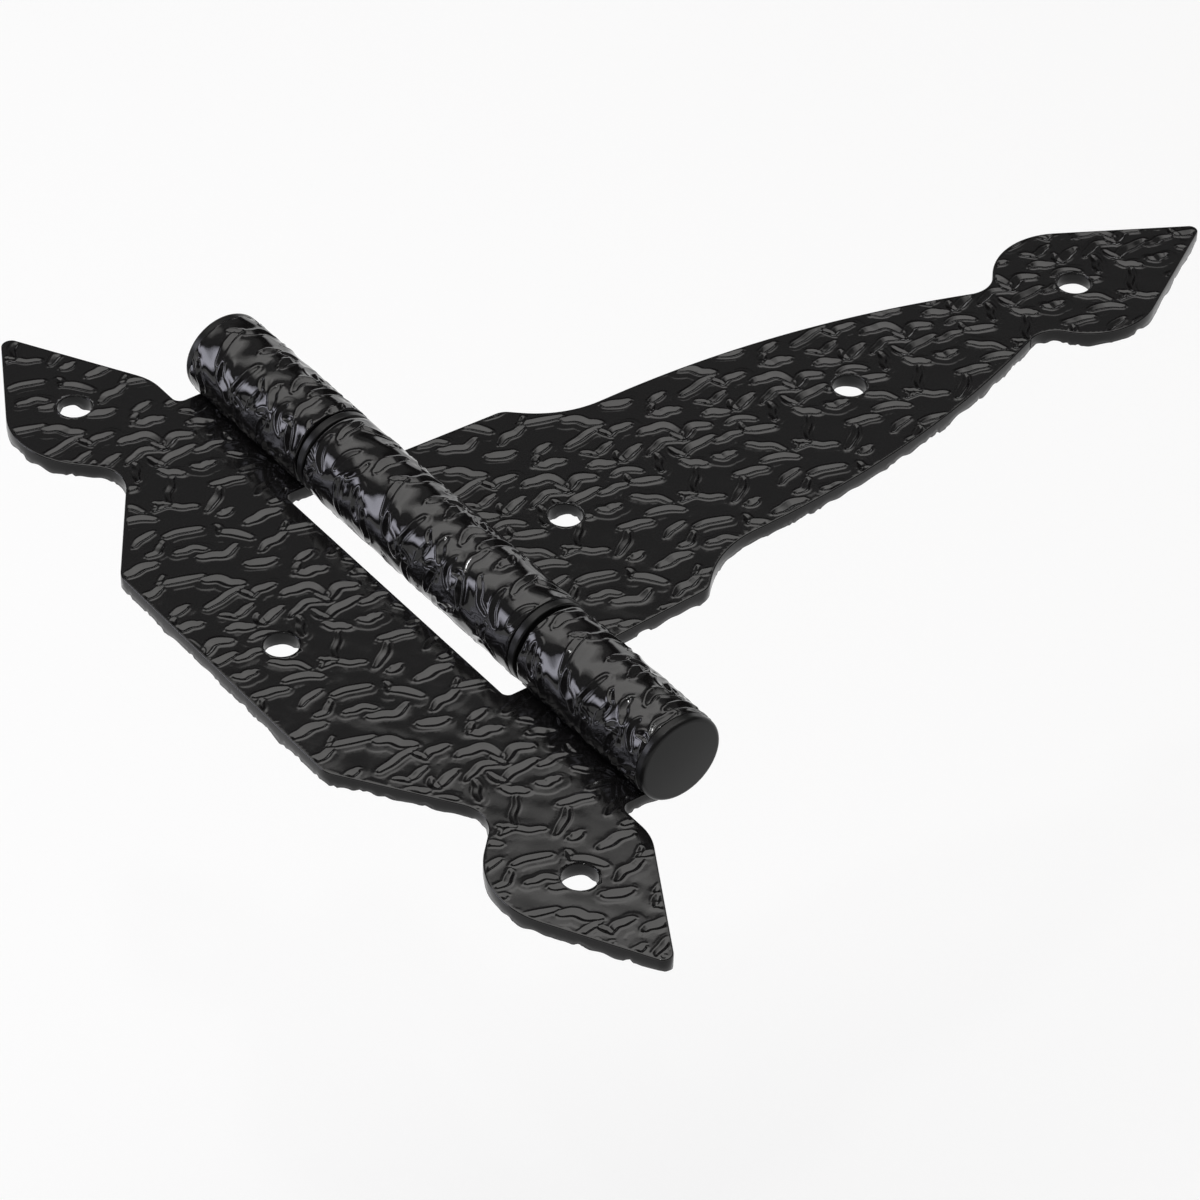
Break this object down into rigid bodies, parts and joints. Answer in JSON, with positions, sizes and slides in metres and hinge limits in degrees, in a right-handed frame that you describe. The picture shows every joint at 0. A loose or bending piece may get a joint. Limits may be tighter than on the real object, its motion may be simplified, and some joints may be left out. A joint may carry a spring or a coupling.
{
  "type": "t hinge",
  "caption": "Gate T hinge: a tall cross leaf and a tapered strap leaf, both with spear-shaped ends and hammered texture, folding on a thick rolled barrel with capped ends.",
  "frame": {"origin": "in the plane of both leaves' backs, straight below the pin's axis, halfway along the barrel", "axes": "+X along the strap towards its tip, +Y along the barrel (upwards on a hung gate), +Z out of the wood"},
  "size_m": [0.2545, 0.2292, 0.019],
  "materials": {
    "black_coat": "glossy black powder coat over hammer-embossed steel sheet",
    "pin_steel": "bright drawn steel, lightly greased",
    "black_plastic": "satin black moulded plastic"
  },
  "bodies": {
    "cross": {"cross_leaf": "black_coat", "hinge_pin": "pin_steel", "washer_top": "black_plastic", "end_cap_bottom": "black_plastic", "end_cap_top": "black_plastic"},
    "strap": {"strap_leaf": "black_coat", "washer_bottom": "black_plastic"}
  },
  "joints": [
    {"name": "strap_swing", "type": "hinge", "parent": "cross", "child": "strap", "pos_m": [0, 0, 0.0095], "axis": [0, -1, 0], "range_deg": [-95, 190]}
  ]
}
